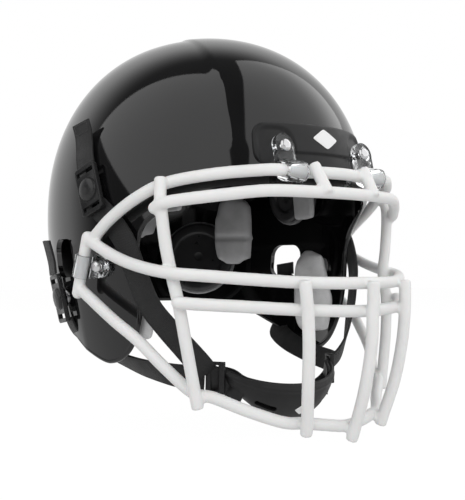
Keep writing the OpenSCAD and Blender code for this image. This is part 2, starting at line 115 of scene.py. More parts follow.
front_path = [(0, -143.5, -5.5), (0, -142.6, -24), (0, -141, -48), (0, -135, -76), (0, -126.5, -101), (0, -123.5, -109)]
strut_path = [(24, -113, 72), (22.5, -123.7, 54)]
post_path = [(123.5, 21, -13), (123.5, 21 - 41 * math.sin(math.radians(18)), -13 + 41 * math.cos(math.radians(18)))]
upper_route = [(-115.6, 8, 47), (-113.4, -5, 37), (-110.5, -18, 22), (-107, -26, 2), (-99.5, -31, -20),
               (-90, -37, -35), (-78.5, -44, -50), (-68.5, -46.5, -61), (-60.5, -44.5, -68)]
lower_route = [(-107.6, 60, -32), (-103.5, 57, -42), (-96.5, 52, -49.3), (-90, 30, -57.6), (-86, 0, -64.8),
               (-80, -26, -68.5), (-69.5, -39.5, -70.5), (-60.5, -42, -71)]
upper_tail = [(-117, 21, 74), (-115.8, 25, 83), (-114, 28.5, 92), (-113.5, 31, 101), (-114.5, 33, 109)]
lower_tail_short = [(117.5, 66, 0), (118, 67, 8), (118.4, 67.4, 10)]
lower_tail = [(-117.5, 66, 0), (-118, 67, 8), (-119.5, 68, 16), (-122, 68.5, 25)]
U, L, CS = (80.2, 4.8), (101.5, -51.5), (77.4, -32.5)

# ------------------------------------------------------------------ materials
def material(name, colour, rough, rough_var=0.06, metal=0.0, col_var=0.15, grain=0.0, grain_scale=900.0,
             noise_scale=60.0, kind="noise", coat=0.0, coat_r=0.05, trans=0.0, ior=1.5, sheen=0.0, spec=0.5, sss=0.0, depth=0.0004):
    m = bpy.data.materials.new(name); m.use_nodes = True
    nt = m.node_tree; N, Lk = nt.nodes, nt.links
    b = N["Principled BSDF"]
    b.inputs["Metallic"].default_value = metal
    b.inputs["IOR"].default_value = ior
    b.inputs["Specular IOR Level"].default_value = spec
    b.inputs["Coat Weight"].default_value = coat
    b.inputs["Coat Roughness"].default_value = coat_r
    b.inputs["Transmission Weight"].default_value = trans
    b.inputs["Sheen Weight"].default_value = sheen
    b.inputs["Sheen Roughness"].default_value = 0.4
    if sss: b.inputs["Subsurface Weight"].default_value = sss; b.inputs["Subsurface Scale"].default_value = 0.003
    tc = N.new("ShaderNodeTexCoord")
    n1 = N.new("ShaderNodeTexNoise"); n1.inputs["Scale"].default_value = noise_scale; n1.inputs["Detail"].default_value = 6
    Lk.new(tc.outputs["Object"], n1.inputs["Vector"])
    cr = N.new("ShaderNodeValToRGB")
    cr.color_ramp.elements[0].position = 0.3; cr.color_ramp.elements[1].position = 0.7
    c = colour
    cr.color_ramp.elements[0].color = [*(x * (1 - col_var) for x in c), 1]
    cr.color_ramp.elements[1].color = [*(min(1, x * (1 + col_var)) for x in c), 1]
    Lk.new(n1.outputs["Fac"], cr.inputs["Fac"])
    mr = N.new("ShaderNodeMapRange")
    mr.inputs["From Min"].default_value = 0.3; mr.inputs["From Max"].default_value = 0.7
    mr.inputs["To Min"].default_value = max(0.01, rough - rough_var); mr.inputs["To Max"].default_value = rough + rough_var
    n2 = N.new("ShaderNodeTexNoise"); n2.inputs["Scale"].default_value = noise_scale * 2.3; n2.inputs["Detail"].default_value = 8
    Lk.new(tc.outputs["Object"], n2.inputs["Vector"]); Lk.new(n2.outputs["Fac"], mr.inputs["Value"])
    Lk.new(mr.outputs["Result"], b.inputs["Roughness"])
    col_out = cr.outputs["Color"]
    if grain > 0:
        bp = N.new("ShaderNodeBump"); bp.inputs["Strength"].default_value = grain; bp.inputs["Distance"].default_value = depth
        if kind == "noise":
            g = N.new("ShaderNodeTexNoise"); g.inputs["Scale"].default_value = grain_scale; g.inputs["Detail"].default_value = 4
            Lk.new(tc.outputs["Object"], g.inputs["Vector"]); Lk.new(g.outputs["Fac"], bp.inputs["Height"])
        elif kind == "leather":
            g = N.new("ShaderNodeTexVoronoi"); g.inputs["Scale"].default_value = grain_scale; g.feature = "SMOOTH_F1"
            Lk.new(tc.outputs["Object"], g.inputs["Vector"]); Lk.new(g.outputs["Distance"], bp.inputs["Height"])
        else:                          # woven: crossed waves, in the strip's own coordinates for webbing
            src = tc.outputs["UV"] if kind == "webbing" else tc.outputs["Object"]
            w1 = N.new("ShaderNodeTexWave"); w1.wave_type = "BANDS"; w1.bands_direction = "DIAGONAL" if kind == "webbing" else "X"
            w2 = N.new("ShaderNodeTexWave"); w2.wave_type = "BANDS"; w2.bands_direction = "Y"
            w1.inputs["Scale"].default_value = grain_scale; w2.inputs["Scale"].default_value = grain_scale * (0.8 if kind == "webbing" else 1)
            w1.inputs["Distortion"].default_value = 0.6; w2.inputs["Distortion"].default_value = 0.6
            mx = N.new("ShaderNodeMath"); mx.operation = "MULTIPLY"
            Lk.new(src, w1.inputs["Vector"]); Lk.new(src, w2.inputs["Vector"])
            Lk.new(w1.outputs["Fac"], mx.inputs[0]); Lk.new(w2.outputs["Fac"], mx.inputs[1])
            Lk.new(mx.outputs[0], bp.inputs["Height"])
            mc = N.new("ShaderNodeMix"); mc.data_type = "RGBA"; mc.blend_type = "MULTIPLY"; mc.inputs["Factor"].default_value = 0.55
            rr = N.new("ShaderNodeMapRange"); rr.inputs["To Min"].default_value = 0.45; rr.inputs["To Max"].default_value = 1.25
            Lk.new(mx.outputs[0], rr.inputs["Value"])
            Lk.new(cr.outputs["Color"], mc.inputs["A"]); Lk.new(rr.outputs["Result"], mc.inputs["B"])
            col_out = mc.outputs["Result"]
        Lk.new(bp.outputs["Normal"], b.inputs["Normal"])
    Lk.new(col_out, b.inputs["Base Color"])
    return m
M = {
    "shell_gloss": material("shell_gloss", (0.004, 0.004, 0.0043), 0.05, 0.015, coat=0.3, coat_r=0.02, col_var=0.25, grain=0.02, grain_scale=1500, noise_scale=25),
    "bumper_satin": material("bumper_satin", (0.014, 0.014, 0.0145), 0.42, 0.06, spec=0.32, grain=0.25, grain_scale=1800, depth=0.0002),
    "bonnet_black": material("bonnet_black", (0.012, 0.012, 0.012), 0.22, 0.08, grain=0.1, grain_scale=300),
    "absorber_black": material("absorber_black", (0.022, 0.022, 0.023), 0.34, 0.08, grain=0.2, grain_scale=1200, depth=0.0002),
    "jaw_pad_grey": material("jaw_pad_grey", (0.66, 0.66, 0.665), 0.30, 0.06, grain=0.25, grain_scale=700, kind="leather", coat=0.25, coat_r=0.2, depth=0.0002),
    "pad_grey": material("pad_grey", (0.44, 0.44, 0.445), 0.55, 0.08, grain=0.3, grain_scale=900, kind="leather", sheen=0.2, depth=0.0003),
    "chin_pad_grey": material("chin_pad_grey", (0.09, 0.09, 0.09), 0.75, 0.08, grain=0.5, grain_scale=500, kind="weave", sheen=0.3, depth=0.0003),
    "clear_clip": material("clear_clip", (0.96, 0.97, 0.98), 0.05, 0.03, col_var=0.01, trans=1.0, ior=1.34, grain=0.10, grain_scale=120, depth=0.0006),
    "steel": material("steel", (0.78, 0.78, 0.79), 0.16, 0.06, metal=1.0, col_var=0.06, grain=0.1, grain_scale=900),
    "webbing": material("webbing", (0.013, 0.013, 0.0135), 0.52, 0.06, grain=0.7, grain_scale=420, kind="webbing", sheen=0.06, depth=0.0005),
    "buckle_black": material("buckle_black", (0.014, 0.014, 0.0145), 0.27, 0.06, grain=0.12, grain_scale=900, depth=0.0002),
    "cup_black": material("cup_black", (0.010, 0.010, 0.0104), 0.46, 0.08, spec=0.4, grain=0.3, grain_scale=1100, depth=0.0002),
    "bar_white": material("bar_white", (0.80, 0.80, 0.795), 0.34, 0.05, col_var=0.02, grain=0.12, grain_scale=350, sss=0.05, spec=0.45, depth=0.0003),
    "rim_grey": material("rim_grey", (0.20, 0.20, 0.205), 0.28, 0.06, grain=0.2, grain_scale=700, depth=0.0002),
    "mark_white": material("mark_white", (0.82, 0.82, 0.82), 0.4, 0.05, col_var=0.03, grain=0.1),
    "thread": material("thread", (0.05, 0.05, 0.05), 0.55, 0.05, grain=0.4, grain_scale=2500),
}
slot_of = {s["node"]: s["material_slot"] for s in frame["record"]["subparts"]}
for n, o in frame["nodes"].items():
    m = M[slot_of[n]]
    if o.data.materials:
        for i in range(len(o.data.materials)): o.data.materials[i] = m
    else: o.data.materials.append(m)

# ------------------------------------------------------------------ mesh helpers
def obj(name, verts, faces, mat, uv=None, sharp=35, body=None, slot=None, nodes=(), world=True):
    me = bpy.data.meshes.new(name)
    me.from_pydata([tuple(W(v)) if world else tuple(v) for v in verts], [], faces)
    me.validate()
    if uv:
        l = me.uv_layers.new(name="UVMap")
        for lp in me.loops: l.data[lp.index].uv = uv[lp.vertex_index]
    bm = bmesh.new(); bm.from_mesh(me); bmesh.ops.recalc_face_normals(bm, faces=bm.faces); bm.to_mesh(me); bm.free()
    me.shade_smooth()
    me.set_sharp_from_angle(angle=math.radians(sharp))
    me.materials.append(M[mat])
    o = bpy.data.objects.new(name, me); bpy.context.scene.collection.objects.link(o)
    if body: done(o, body, slot or mat, *nodes)
    return o
def done(o, body, slot, *nodes):
    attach(o, body)
    if nodes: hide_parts(*nodes)
def apply_mods(o):
    dg = bpy.context.evaluated_depsgraph_get()
    me = bpy.data.meshes.new_from_object(o.evaluated_get(dg))
    old = o.data; o.modifiers.clear(); o.data = me
    bpy.data.meshes.remove(old)
def resharp(o, a=35):
    o.data.shade_smooth(); o.data.set_sharp_from_angle(angle=math.radians(a))
def tube(P, r, n=20, ref=(0, 0, 1), cap=True, rings=4, flat=False):
    P = [Vector(p) for p in P]; k = len(P)
    T = [(P[min(i + 1, k - 1)] - P[max(i - 1, 0)]).normalized() for i in range(k)]
    C, R, TT = list(P), [r] * k, list(T)
    if cap:
        e = 0.35 if flat else 1.0
        pre = [(P[0] - T[0] * (r * e * math.sin(a)), r * (math.cos(a) if not flat else 1 - 0.12 * (1 - math.cos(a * 1.0)) * 2)) for a in [math.radians(90 * (1 - j / rings) * 0.97) for j in range(rings)]]
        post = [(P[-1] + T[-1] * (r * e * math.sin(a)), r * (math.cos(a) if not flat else 1 - 0.12 * (1 - math.cos(a * 1.0)) * 2)) for a in [math.radians(90 * (j + 1) / rings * 0.97) for j in range(rings)]]
        C = [p for p, _ in pre] + C + [p for p, _ in post]
        R = [q for _, q in pre] + R + [q for _, q in post]
        TT = [T[0]] * rings + TT + [T[-1]] * rings
    V, F = [], []
    ref = Vector(ref)
    for c, q, t in zip(C, R, TT):
        s = t.cross(ref).normalized(); u = s.cross(t)
        for j in range(n):
            a = 2 * math.pi * j / n
            V.append(c + (s * math.cos(a) + u * math.sin(a)) * q)
    m = len(C)
    for i in range(m - 1):
        for j in range(n):
            l = (j + 1) % n
            F.append((i * n + j, (i + 1) * n + j, (i + 1) * n + l, i * n + l))
    F.append(tuple(range(n))); F.append(tuple((m - 1) * n + j for j in range(n - 1, -1, -1)))
    return V, F
def merge(parts):
    V, F = [], []
    for v, f in parts:
        o = len(V); V += list(v); F += [tuple(i + o for i in q) for q in f]
    return V, F
def grid_solid(outer, inner, nu, nv):
    """closed solid between two grids given as functions of (i, j)"""
    m = nu + 1; c = m * (nv + 1)
    V = [outer(i, j) for j in range(nv + 1) for i in range(nu + 1)] + [inner(i, j) for j in range(nv + 1) for i in range(nu + 1)]
    I = lambda i, j, s: s * c + j * m + i
    F = [(I(i, j, 0), I(i + 1, j, 0), I(i + 1, j + 1, 0), I(i, j + 1, 0)) for j in range(nv) for i in range(nu)]
    F += [(I(i, j, 1), I(i, j + 1, 1), I(i + 1, j + 1, 1), I(i + 1, j, 1)) for j in range(nv) for i in range(nu)]
    F += [(I(i, 0, 0), I(i, 0, 1), I(i + 1, 0, 1), I(i + 1, 0, 0)) for i in range(nu)]
    F += [(I(i, nv, 0), I(i + 1, nv, 0), I(i + 1, nv, 1), I(i, nv, 1)) for i in range(nu)]
    F += [(I(0, j, 0), I(0, j + 1, 0), I(0, j + 1, 1), I(0, j, 1)) for j in range(nv)]
    F += [(I(nu, j, 0), I(nu, j, 1), I(nu, j + 1, 1), I(nu, j + 1, 0)) for j in range(nv)]
    return V, F
def boolean(o, cutter, op="DIFFERENCE"):
    md = o.modifiers.new("cut", "BOOLEAN"); md.operation = op; md.solver = "EXACT"; md.object = cutter
    bpy.context.view_layer.update(); apply_mods(o)
    bpy.data.objects.remove(cutter)
def prism_x(P, x0, x1):               # closed outline in (y, z), run along X
    n = len(P)
    V = [(x0, y, z) for y, z in P] + [(x1, y, z) for y, z in P]
    F = [tuple(range(n)), tuple(range(2 * n - 1, n - 1, -1))] + [(i, i + n, (i + 1) % n + n, (i + 1) % n) for i in range(n)]
    return V, F
def rounded(cy, cz, hy, hz, r, k=10):
    out = []
    for (sy, sz, a0) in ((1, 1, 0), (-1, 1, 90), (-1, -1, 180), (1, -1, 270)):
        for j in range(k + 1):
            a = math.radians(a0 + 90 * j / k)
            out.append((cy + sy * (hy - r) + r * math.cos(a), cz + sz * (hz - r) + r * math.sin(a)))
    return out

# ------------------------------------------------------------------ shell
def crease(p):                        # raised centre panel of the crown, in mm
    w = 22 + (40 - p.y) * 0.385
    f = sm(78, 25, p.y) * sm(-92, -62, p.y) if p.z > 90 else 0
    return 1.0 * f * sm(-1.6, 1.6, w - abs(p.x))
def dome(d, el0, na, ne, bump=False):
    V, F = [], []
    for j in range(ne):
        e = el0 + (88.5 - el0) * j / (ne - 1)
        for i in range(na):
            p = skin(360 * i / na, e, d)
            if bump:
                c = crease(p)
                if c: p = p + skin_n(360 * i / na, e) * c
            V.append(p)
    for j in range(ne - 1):
        for i in range(na):
            k = (i + 1) % na
            F.append((j * na + i, j * na + k, (j + 1) * na + k, (j + 1) * na + i))
    t = len(V); V.append(Vector((0, YC, ZW + CU - d + (1.0 if bump else 0)))); V.append(Vector((0, YC, ZW + 1.2 * el0)))
    F += [((ne - 1) * na + i, (ne - 1) * na + (i + 1) % na, t) for i in range(na)]
    F += [((i + 1) % na, i, t + 1) for i in range(na)]
    return V, F
prof = [(p.x, p.y) for p in smooth([Vector((a, b, 0)) for a, b in edge], 8)]
shell = obj("shell_skin", *dome(0, -92, 240, 120, True), "shell_gloss")
boolean(shell, obj("c1", *dome(4, -96, 160, 80), "shell_gloss"))
boolean(shell, obj("c2", *prism_x(prof + [(190, -120), (-150, -120)], -150, 150), "shell_gloss"))
for s in (-1, 1):
    boolean(shell, obj("c3", *prism_x(rounded(57, 12, 16, 14, 9.5), min(s * 82, s * 145), max(s * 82, s * 145)), "shell_gloss"))
    for a, b in ((150, 52),):
        V, F = prism_x(rounded(0, 0, 8, 3.2, 3.1), -14, 14)
        m = skin_frame(s * a, b); R = Matrix(((0, 1, 0), (0, 0, 1), (1, 0, 0))).to_4x4()
        boolean(shell, obj("c4", [m @ (R @ Vector(v)) for v in V], F, "shell_gloss"))
resharp(shell, 28)
shell.data.materials.clear(); shell.data.materials.append(M["shell_gloss"])
done(shell, "helmet", "shell_gloss", "shell")
def mid_x(y, z, d=2.0):
    lo = 0 if z > ZW else (ZW - z) / 100
    b = (BF if y < YC else BR) - d
    k = (max(0, 1 - ((z - ZW) / CU) ** 2.17)) ** (1 / 2.17) if z > ZW else 1.0
    kk = k
    for _ in range(12):
        c = max(0, (y - YC) / (b * kk)) if z <= ZW else 0
        if z <= ZW: kk = 1 - (SI + (RI - SI) * min(1, c)) * lo * lo
    q = kk * kk - ((y - YC) / b) ** 2
    return (A - d) * math.sqrt(q) if q > 0 else None
def rim_curve():
    P = []
    x = 0.0
    while x < 62:
        k = (1 - ((57 - ZW) / CU) ** 2.17) ** (1 / 2.17)
        P.append(Vector((x, YC - (BF - 2) * math.sqrt(k * k - (x / (A - 2)) ** 2), 57 - 0.9 * sm(20, 62, x)))); x += 3
    y0 = P[-1].y
    for y, z in prof:
        if y > y0 + 1.5 and (y > -50 or True):
            m = mid_x(y, z)
            if m is None: break
            if m < 20 and y > 100: break
            P.append(Vector((m, y, z)))
    x = P[-1].x - 3
    while x > 0:
        z = -22; lo = (ZW - z) / 100
        y = P[-1].y
        for _ in range(30):
            c = min(1, (y - YC) / (BR * 0.9)); kk = 1 - (SI + (RI - SI) * c) * lo * lo
            y = YC + (BR - 2) * math.sqrt(max(0, kk * kk - (x / (A - 2)) ** 2))
        P.append(Vector((x, y, z))); x -= 3
    return P
rc = rim_curve()
loop = rc + [Vector((-p.x, p.y, p.z)) for p in rc[::-1] if p.x > 0.01]
def closed_tube(P, r, n=12):
    k = len(P); V, F = [], []
    for i in range(k):
        t = (P[(i + 1) % k] - P[i - 1]).normalized()
        c = Vector((0, YC, P[i].z)); o = (P[i] - c).normalized()
        s = t.cross(o).normalized(); u = s.cross(t)
        for j in range(n):
            a = 2 * math.pi * j / n; V.append(P[i] + (s * math.cos(a) + u * math.sin(a)) * r)
    for i in range(k):
        for j in range(n):
            l = (j + 1) % n; q = (i + 1) % k
            F.append((i * n + j, q * n + j, q * n + l, i * n + l))
    return V, F
obj("shell_rim", *closed_tube(loop, 2.03), "shell_gloss", body="helmet")

# ------------------------------------------------------------------ front bumper with its clip recesses, and the mark
def bumper_h(x, z):
    e = min(1, sm(0, 2.6, z - 71.5)) * 1.0
    h = 3.3
    for s in (-1, 1):                 # pocket round each clip
        dx = abs(x - s * 38) / 12.5; dz = (z - 84) / 15.5
        h -= 2.0 * (1 - sm(0.82, 1.04, (abs(dx) ** 3 + (max(0, dz) ** 3)) ** (1 / 3)))
    h -= 1.7 * (1 - sm(80.6, 82.6, z)) * (1 - sm(24, 30, abs(x)))
    return max(0.9, h)
def bump_pt(i, j, top, nu=120, nv=56):
    u, v = 2 * i / nu - 1, 2 * j / nv - 1
    ss, tt = 1 - 0.10 * abs(v) ** 4 * abs(u), 1 - 0.10 * abs(u) ** 5 * abs(v)
    az = 27.5 * u * ss; el = 16.3 + 6.5 * v * tt
    rim = (1 - abs(u) ** 22) * (1 - abs(v) ** 14)
    p = skin(az, el)
    h = bumper_h(p.x, p.z) * (0.35 + 0.65 * max(0, rim) ** 0.5) if top else -0.3
    return p + skin_n(az, el) * h
V, F = grid_solid(lambda i, j: bump_pt(i, j, True), lambda i, j: bump_pt(i, j, False), 120, 56)
obj("brow_bumper", V, F, "bumper_satin", sharp=50, body="helmet", nodes=("front_bumper",))
def lozenge(name, fn, hw, hh, body, t=0.5, n=12):
    V, F = [], []
    def P(u, v, top):                 # diamond with softened corners
        return fn(u * hw, v * hh, t if top else -0.4)
    pts = []
    for q in range(4):
        for k in range(n):
            f = k / n; a = [(1, 0), (0, 1), (-1, 0), (0, -1), (1, 0)]
            x = a[q][0] * (1 - f) + a[q + 1][0] * f; y = a[q][1] * (1 - f) + a[q + 1][1] * f
            g = 1 - 0.07 * (abs(abs(x) - abs(y)) ** 6); pts.append((x * g, y * g))
    rings = [1.0, 0.97, 0.6, 0.25]
    for ri, s in enumerate(rings):
        V += [P(x * s, y * s, True) if ri else P(x, y, True) - Vector((0, 0, 0)) for x, y in pts]
    V += [P(x, y, False) for x, y in pts]
    c = len(V); V.append(P(0, 0, True)); V.append(P(0, 0, False)); m = len(pts)
    for r in range(3): F += [(r * m + k, r * m + (k + 1) % m, (r + 1) * m + (k + 1) % m, (r + 1) * m + k) for k in range(m)]
    F += [(3 * m + k, 3 * m + (k + 1) % m, c) for k in range(m)]
    F += [(k, 4 * m + k, 4 * m + (k + 1) % m, (k + 1) % m) for k in range(m)]
    F += [(4 * m + (k + 1) % m, 4 * m + k, c + 1) for k in range(m)]
    return obj(name, V, F, "mark_white", sharp=40, body=body)
def on_brow(x, y, h):
    z = 92.0 + y; el = el_of(z); k = math.cos(math.radians(el)) ** 0.92
    az = math.degrees(math.asin(x / (A * k)))
    return skin(az, el) + skin_n(az, el) * (3.3 + h)
lozenge("brow_lozenge", on_brow, 11.5, 7.2, "helmet", 0.35)
V, F = grid_solid(lambda i, j: skin_off(150 + 60 * i / 40, -54 + 23 * j / 14, 3.2 * (0.3 + 0.7 * max(0, (1 - abs(2 * i / 40 - 1) ** 14) * (1 - abs(2 * j / 14 - 1) ** 8)) ** 0.5)),
                  lambda i, j: skin_off(150 + 60 * i / 40, -54 + 23 * j / 14, -0.2), 40, 14)
obj("nape_plate", V, F, "bumper_satin", sharp=50, body="helmet", nodes=("nape_bumper",))

# ------------------------------------------------------------------ face mask: bars dipped in vinyl as one skin
parts = []
for P in (brow_path, eye_path, upper_mouth_path, lower_mouth_path, chin_path):
    parts.append(tube(smooth(P, 8), BAR))
for P in (outer_path, flip(outer_path), mid_path, flip(mid_path), front_path):
    parts.append(tube(smooth(P, 8), BAR, ref=(0, 1, 0), flat=True))
for P in (strut_path, flip(strut_path)): parts.append(tube(smooth(P, 8), BAR, ref=(1, 0, 0), flat=True))
for P in (post_path, flip(post_path)): parts.append(tube(smooth(P, 8), BAR, ref=(1, 0, 0)))
mask = obj("wire_mask", *merge(parts), "bar_white", sharp=180)
md = mask.modifiers.new("r", "REMESH"); md.mode = "VOXEL"; md.voxel_size = 0.00095; md.use_smooth_shade = True
md = mask.modifiers.new("s", "SMOOTH"); md.factor = 0.5; md.iterations = 8
bpy.context.view_layer.update(); apply_mods(mask)
mask.data.shade_smooth()
mask.data.materials.clear(); mask.data.materials.append(M["bar_white"])
done(mask, "facemask", "bar_white", "brow_bar", "brow_journals", "eye_bar", "upper_mouth_bar", "lower_mouth_bar", "chin_bar",
     "outer_uprights", "centre_uprights", "brow_struts", "side_posts")

# ------------------------------------------------------------------ liner
def lathe(prof, m, n=72):
    V, F = [], []
    k = len(prof)
    for r, z in prof:
        for j in range(n):
            a = 2 * math.pi * j / n; V.append(m @ Vector((r * math.cos(a), r * math.sin(a), z)))
    for i in range(k - 1):
        for j in range(n):
            l = (j + 1) % n; F.append((i * n + j, i * n + l, (i + 1) * n + l, (i + 1) * n + j))
    F.append(tuple(range(n - 1, -1, -1))); F.append(tuple((k - 1) * n + j for j in range(n)))
    return V, F
def cell(r, h=22.4):
    P = [(r - 5, 0), (r - 3.6, 0.3), (r - 3.4, 1.6), (r - 5.2, 3.6), (r - 5.6, 6), (r - 5.6, h * 0.45), (r - 4.6, h * 0.52), (r - 0.6, h * 0.60), (r, h * 0.64),
         (r, h - 3.2), (r - 0.5, h - 1.4), (r - 1.6, h - 0.4), (r - 3, h), (r - 8.2, h), (r - 9, h - 0.3), (r - 9.6, h - 1.2), (r - 10.2, h - 2.0), (r - 12, h - 2.2), (4, h - 2.0), (3.4, h - 2.6), (0.5, h - 2.7)]
    return P
def cell_m(az, el, h=22.4):
    return skin_frame(az, el, 7.5 + h) @ Matrix.Translation((0, 0, h)) @ Matrix.Scale(-1, 4, (0, 0, 1))
def cells(name, node, L_):
    V, F = merge([lathe(cell(r), cell_m(az, el)) for az, el, r in L_])
    obj(name, V, F, "absorber_black", sharp=45, body="helmet", nodes=(node,))
cells("air_cells_side", "side_absorbers", [(s * 88, 8, 21) for s in (-1, 1)] + [(s * 128, 26, 28) for s in (-1, 1)])
cells("air_cells_rear", "rear_absorbers", [(s * 138, -29, 31) for s in (-1, 1)])
cells("air_cells_front", "front_absorbers", [(0, 27, 21)] + [(s * 38, 26, 21) for s in (-1, 1)])
def rims(name, L_):
    V, F = merge([lathe([(r - 0.4, h_ * 0.62), (r + 1.5, h_ * 0.62), (r + 1.9, h_ * 0.66), (r + 1.9, h_ * 0.78), (r + 1.4, h_ * 0.83), (r - 0.4, h_ * 0.84)], cell_m(az, el)) for az, el, r in L_ for h_ in (22.4,)])
    obj(name, V, F, "rim_grey", sharp=45, body="helmet", slot="pad_grey")
rims("cell_rims_side", [(s * 88, 8, 21) for s in (-1, 1)] + [(s * 128, 26, 28) for s in (-1, 1)])
rims("cell_rims_front", [(0, 27, 21)] + [(s * 38, 26, 21) for s in (-1, 1)])
rims("cell_rims_rear", [(s * 138, -29, 31) for s in (-1, 1)])
top = Matrix.Translation((0, YC - 4, ZW + CU - 7.8)) @ Matrix.Scale(-1, 4, (0, 0, 1))
V, F = merge([lathe(cell(29, 21.8), top)] + [lathe(cell(29), cell_m(az, el)) for az, el in ((90, 50), (-90, 50), (180, 48))])
obj("air_cells_crown", V, F, "absorber_black", sharp=45, body="helmet", nodes=("crown_absorbers",))
def bonnet_pt(i, j, d, nu=120, nv=30):
    az = 360 * i / nu
    lo = 9 + 4 * math.sin(math.radians(az * 5)) + 20 * sm(-0.2, 0.9, math.cos(math.radians(az)))
    return skin(az, lo + (88 - lo) * j / nv, d)
V, F = grid_solid(lambda i, j: bonnet_pt(i, j, 31), lambda i, j: bonnet_pt(i, j, 33), 120, 30)
o = obj("liner_cap", V, F, "bonnet_black", sharp=50, body="helmet", nodes=("bonnet",))

# padded pieces: closed starting shape, remesh, cloth under pressure, one subdivision
def puff(o, voxel=4.5, pressure=4.0, cap=5.0, frames=20, shrink=0.35):
    me = o.data
    md = o.modifiers.new("r", "REMESH"); md.mode = "VOXEL"; md.voxel_size = voxel / 1000
    bpy.context.view_layer.update(); apply_mods(o)
    rest = [v.co.copy() for v in o.data.vertices]
    cl = o.modifiers.new("c", "CLOTH")
    st = cl.settings
    st.use_pressure = True; st.uniform_pressure_force = pressure; st.effector_weights.gravity = 0
    st.mass = 0.2; st.quality = 5; st.tension_stiffness = 12; st.compression_stiffness = 12; st.bending_stiffness = 2
    st.shrink_min = 0.0
    cl.point_cache.frame_start = 1; cl.point_cache.frame_end = frames
    sc = bpy.context.scene
    for f in range(1, frames + 1): sc.frame_set(f)
    bpy.context.view_layer.update(); apply_mods(o)
    sc.frame_set(1)
    for v, r in zip(o.data.vertices, rest):
        d = v.co - r
        if d.length > cap / 1000: v.co = r + d.normalized() * cap / 1000
    sd = o.modifiers.new("s", "SMOOTH"); sd.factor = 0.5; sd.iterations = 3
    ss = o.modifiers.new("ss", "SUBSURF"); ss.levels = 1; ss.render_levels = 1
    bpy.context.view_layer.update(); apply_mods(o); o.data.shade_smooth()
    return o
def mirror(o, name):
    me = o.data.copy(); me.name = name
    bm = bmesh.new(); bm.from_mesh(me)
    for v in bm.verts: v.co.x = -v.co.x
    bmesh.ops.reverse_faces(bm, faces=bm.faces); bm.to_mesh(me); bm.free()
    q = bpy.data.objects.new(name, me); bpy.context.scene.collection.objects.link(q); return q
def groove(o, fn, depth, width):      # sewn channel: pull in where fn(co in head datum mm) is near 0
    for v in o.data.vertices:
        p = Vector((v.co.x * 1000, v.co.y * 1000 - BACK, v.co.z * 1000 - LIFT))
        d = abs(fn(p))
        if d < width:
            c = Vector((0, YC, 45)); n = (p - c).normalized()
            v.co += n * (depth * (1 - sm(0, width, d))) / 1000
def pad(name, node, a0, a1, e0, e1, d0, d1, mat="pad_grey", nu=14, nv=10, rnd=0.16, mir=None, chan=None):
    def q(i, j, d):
        u, v = 2 * i / nu - 1, 2 * j / nv - 1
        s, t = 1 - rnd * v * v * abs(u), 1 - rnd * u * u * abs(v)
        inn = d > d0 + 1
        k = 0.94 if inn else 1.0
        return skin((a0 + a1) / 2 + (a1 - a0) / 2 * u * s * k, (e0 + e1) / 2 + (e1 - e0) / 2 * v * t * k, d)
    V, F = grid_solid(lambda i, j: q(i, j, d0), lambda i, j: q(i, j, d1), nu, nv)
    o = puff(obj(name, V, F, mat, sharp=180))
    if chan: groove(o, chan, 2.2, 3.4)
    out = [(o, node)]
    if mir: out.append((mirror(o, mir[0]), mir[1]))
    for x, nd in out:
        x.data.materials.clear(); x.data.materials.append(M[mat])
        done(x, "helmet", mat, nd)
pad("comfort_pad_front", "front_pad", -38, 38, 6, 25, 34.5, 41, chan=lambda p: min(abs(p.x - 16), abs(p.x + 16), key=abs))
pad("comfort_pad_rear", "rear_pad", 162, 198, -12, 25, 34.5, 41, chan=lambda p: p.z - 68)
pad("comfort_pad_crown", "crown_pad", -148, 148, 63, 81, 34.5, 41, nu=40, nv=6, rnd=0)
pad("comfort_pad_side_left", "side_pad_left", 105, 129, -31, 13, 34.5, 44, mir=("comfort_pad_side_right", "side_pad_right"), chan=lambda p: p.z - 32)
pad("comfort_pad_temple_left", "temple_pad_left", 53, 75, -3, 21, 34.5, 41, mir=("comfort_pad_temple_right", "temple_pad_right"))
# jaw pads: a hull of soft corners
pts = []
for p in [(-14, -20), (-12, -42), (0, 14), (14, -44), (14, 17), (22, -18)]:
    pts.append(((90 if p[1] < -36 else 93) - (3 if p[0] < 0 else 0), p[0], p[1], 5.0))
for p in [(6, -14), (8, -34), (12, 8), (12, -36)]: pts.append((84, p[0], p[1], 5.4))
bm = bmesh.new()
for x, y, z, r in pts: bmesh.ops.create_icosphere(bm, subdivisions=2, radius=r / 1000, matrix=Matrix.Translation(W((x, y, z))))
h = bmesh.ops.convex_hull(bm, input=bm.verts)
bmesh.ops.delete(bm, geom=list({g for g in h["geom_interior"] + h["geom_unused"] if isinstance(g, bmesh.types.BMVert)}), context="VERTS")
me = bpy.data.meshes.new("jaw_pad_l"); bm.to_mesh(me); bm.free()
jaw = bpy.data.objects.new("cheek_cushion_left", me); bpy.context.scene.collection.objects.link(jaw)
puff(jaw, voxel=4.0, cap=3.0)
jr = mirror(jaw, "cheek_cushion_right")
for x, nd in ((jaw, "jaw_pad_left"), (jr, "jaw_pad_right")):
    x.data.materials.clear(); x.data.materials.append(M["jaw_pad_grey"]); done(x, "helmet", "jaw_pad_grey", nd)

